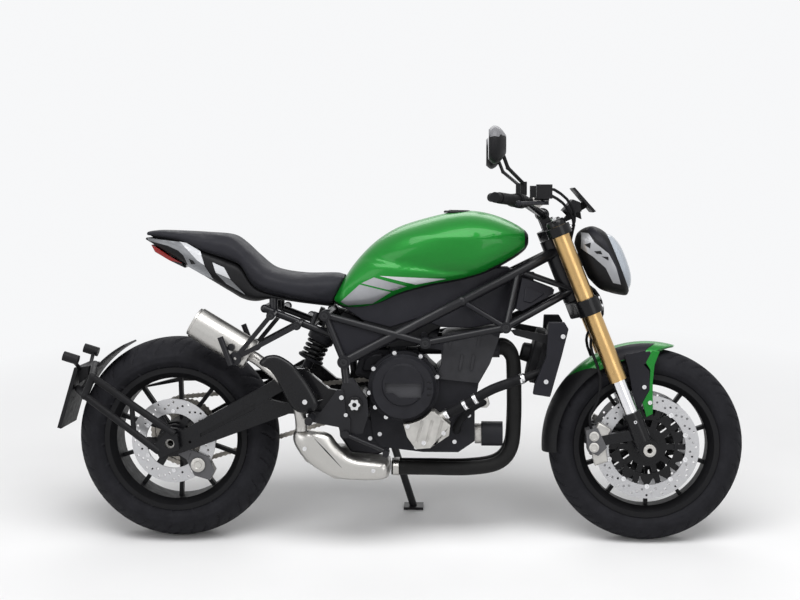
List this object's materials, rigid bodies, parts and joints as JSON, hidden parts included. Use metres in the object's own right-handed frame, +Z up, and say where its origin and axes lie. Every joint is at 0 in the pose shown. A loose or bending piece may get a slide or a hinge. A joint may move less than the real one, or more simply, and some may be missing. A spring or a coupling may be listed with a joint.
{
  "type": "standard motorcycle",
  "caption": "Naked roadster motorcycle with a trellis frame, open engine, green tank, gold upside-down fork and stepped seat, leaning on its side stand.",
  "frame": {"origin": "middle of the bounding box, on the floor", "axes": "+X forward along the machine, +Y to the rider's left, +Z up; the machine leans 10 degrees to the left on its stand"},
  "size_m": [2.1279, 0.9146, 1.323],
  "materials": {
    "frame_black": "satin",
    "swingarm_black": "satin",
    "bright_alloy": "satin",
    "spring_black": "satin",
    "engine_dark": "matte",
    "radiator_black": "matte",
    "plastic_grey": "satin",
    "rubber_black": "matte",
    "exhaust_black": "matte",
    "exhaust_silver": "satin",
    "plastic_black": "satin",
    "paint_green": "gloss",
    "seat_cover": "matte",
    "lamp_red": "gloss",
    "cast_black": "satin",
    "caliper_grey": "satin",
    "chain_steel": "satin",
    "stand_black": "satin",
    "fork_gold": "satin",
    "fork_chrome": "polished",
    "lamp_shell": "satin",
    "lamp_lens": "polished",
    "wheel_black": "gloss",
    "tyre": "matte",
    "disc_steel": "satin"
  },
  "bodies": {
    "chassis": {"frame": "frame_black", "subframe": "frame_black", "swingarm": "swingarm_black", "swingarm_pivot": "bright_alloy", "rear_axle": "bright_alloy", "shock_absorber": "spring_black", "crankcase": "engine_dark", "clutch_cover": "engine_dark", "left_engine_covers": "engine_dark", "cylinder_head": "engine_dark", "water_pump": "bright_alloy", "oil_filter": "engine_dark", "radiator": "radiator_black", "radiator_shrouds": "plastic_grey", "coolant_hose": "rubber_black", "exhaust_headers": "exhaust_black", "exhaust_chamber": "exhaust_silver", "exhaust_link": "exhaust_silver", "exhaust_guard": "plastic_black", "silencer": "exhaust_silver", "fuel_tank": "paint_green", "airbox": "plastic_black", "seat": "seat_cover", "tail_cowl": "plastic_grey", "tail_lamp": "lamp_red", "passenger_brackets": "cast_black", "rider_footrests": "cast_black", "foot_levers": "cast_black", "plate_carrier": "plastic_black", "rear_caliper": "caliper_grey", "chain": "chain_steel"},
    "side_stand": {"side_stand": "stand_black"},
    "steering": {"yokes": "cast_black", "fork_tubes": "fork_gold", "fork_sliders": "fork_chrome", "fork_feet": "cast_black", "front_axle": "bright_alloy", "handlebar": "stand_black", "grips": "rubber_black", "controls": "plastic_black", "levers": "cast_black", "mirrors": "plastic_black", "headlight_shell": "lamp_shell", "headlight_lens": "lamp_lens", "instrument": "plastic_black", "front_mudguard": "paint_green", "front_calipers": "caliper_grey", "brake_hoses": "rubber_black"},
    "front_wheel": {"front_rim": "wheel_black", "front_tyre": "tyre", "front_discs": "disc_steel"},
    "rear_wheel": {"rear_rim": "wheel_black", "rear_tyre": "tyre", "rear_disc": "disc_steel", "rear_sprocket": "chain_steel"}
  },
  "joints": [
    {"name": "steering", "type": "hinge", "parent": "chassis", "child": "steering", "pos_m": [0.504, -0.06529, 0.83022], "axis": [-0.3746, 0.161, 0.9131], "range_deg": [-30, 30]},
    {"name": "front_wheel_spin", "type": "hinge", "parent": "steering", "child": "front_wheel", "pos_m": [0.764, -0.15942, 0.29638], "axis": [0, 0.9848, -0.1736], "continuous": true},
    {"name": "rear_wheel_spin", "type": "hinge", "parent": "chassis", "child": "rear_wheel", "pos_m": [-0.696, -0.15671, 0.31173], "axis": [0, 0.9848, -0.1736], "continuous": true},
    {"name": "side_stand_fold", "type": "hinge", "parent": "chassis", "child": "side_stand", "pos_m": [-0.046, -0.01986, 0.29314], "axis": [0, 0.9962, 0.0872], "range_deg": [0, 100]}
  ]
}
